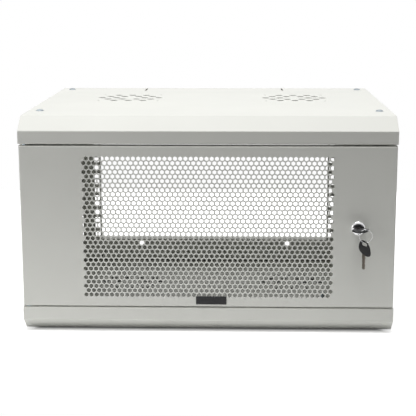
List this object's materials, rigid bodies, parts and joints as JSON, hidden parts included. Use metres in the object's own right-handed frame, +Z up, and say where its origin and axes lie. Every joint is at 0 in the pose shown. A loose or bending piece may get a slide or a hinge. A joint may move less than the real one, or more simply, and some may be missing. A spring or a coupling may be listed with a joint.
{
  "type": "wall mount network cabinet",
  "caption": "Wall mount cabinet for 19 inch equipment: folded steel shell, perforated locking door, open back, rails front and rear, fan vents above and below.",
  "frame": {"origin": "middle of the base's underside, under the shell's middle", "axes": "+X to the right seen from the front, +Y towards the wall, +Z up"},
  "size_m": [0.6, 0.5367, 0.35],
  "materials": {
    "shell_paint": "light grey powder coat, fine grain",
    "frame_paint": "light grey powder coat",
    "zinc": "bright zinc plate",
    "chrome": "polished chrome",
    "black_plastic": "black moulded plastic",
    "nickel": "nickel plate",
    "spring_steel": "spring steel",
    "grey_plastic": "grey moulded plastic"
  },
  "bodies": {
    "cabinet": {"bottom_panel": "shell_paint", "top_panel": "shell_paint", "bottom_panel_screws": "zinc", "top_panel_screws": "zinc", "front_upright_right": "frame_paint", "front_upright_left": "frame_paint", "rear_upright_right": "frame_paint", "rear_upright_left": "frame_paint", "lower_beam_right": "frame_paint", "lower_beam_left": "frame_paint", "upper_beam_right": "frame_paint", "upper_beam_left": "frame_paint", "wall_beam_lower": "frame_paint", "wall_beam_upper": "frame_paint", "wall_beam_bolts_right": "zinc", "wall_beam_bolts_left": "zinc", "front_rail_right": "frame_paint", "front_rail_left": "frame_paint", "rear_rail_right": "frame_paint", "rear_rail_left": "frame_paint", "rail_bolts_right": "zinc", "rail_bolts_left": "zinc", "lower_hinge_pin": "zinc", "hinge_washer": "zinc", "earth_stud": "zinc"},
    "door": {"door_leaf": "shell_paint", "hinge_bracket": "frame_paint", "hinge_spring": "spring_steel", "lock_housing": "chrome", "lock_nut": "zinc"},
    "hinge_bolt": {"upper_hinge_pin": "zinc"},
    "lock_plug": {"lock_plug": "chrome", "lock_cam": "zinc", "cam_screw": "zinc"},
    "key": {"key_bow": "black_plastic", "key_blade": "nickel"},
    "ring": {"key_ring": "spring_steel"},
    "spare_key": {"spare_key_bow": "black_plastic", "spare_key_blade": "nickel"},
    "side_right": {"side_panel_right": "shell_paint", "side_clips_right": "grey_plastic"},
    "side_left": {"side_panel_left": "shell_paint", "side_clips_left": "grey_plastic"}
  },
  "joints": [
    {"name": "door_hinge", "type": "hinge", "parent": "cabinet", "child": "door", "pos_m": [-0.2912, -0.241, 0.175], "axis": [0, 0, -1], "range_deg": [0, 180]},
    {"name": "hinge_bolt_slide", "type": "slide", "parent": "door", "child": "hinge_bolt", "axis": [0, 0, -1], "range_m": [0, 0.009], "stiffness_N_per_m": 300, "springref_m": -0.006, "deforming": ["hinge_spring"]},
    {"name": "lock_turn", "type": "hinge", "parent": "door", "child": "lock_plug", "pos_m": [0.24, -0.25, 0.175], "axis": [0, 1, 0], "range_deg": [0, 90]},
    {"name": "key_pull", "type": "slide", "parent": "lock_plug", "child": "key", "axis": [0, -1, 0], "range_m": [0, 0.022]},
    {"name": "ring_swing", "type": "hinge", "parent": "key", "child": "ring", "pos_m": [0.24913, -0.2765, 0.175], "axis": [0, 1, 0], "range_deg": [-100, 40]},
    {"name": "spare_key_swing", "type": "hinge", "parent": "ring", "child": "spare_key", "pos_m": [0.24913, -0.2765, 0.15794], "axis": [1, 0, 0], "range_deg": [-30, 30]},
    {"name": "side_right_off", "type": "slide", "parent": "cabinet", "child": "side_right", "axis": [1, 0, 0], "range_m": [0, 0.04]},
    {"name": "side_left_off", "type": "slide", "parent": "cabinet", "child": "side_left", "axis": [-1, 0, 0], "range_m": [0, 0.04]}
  ]
}
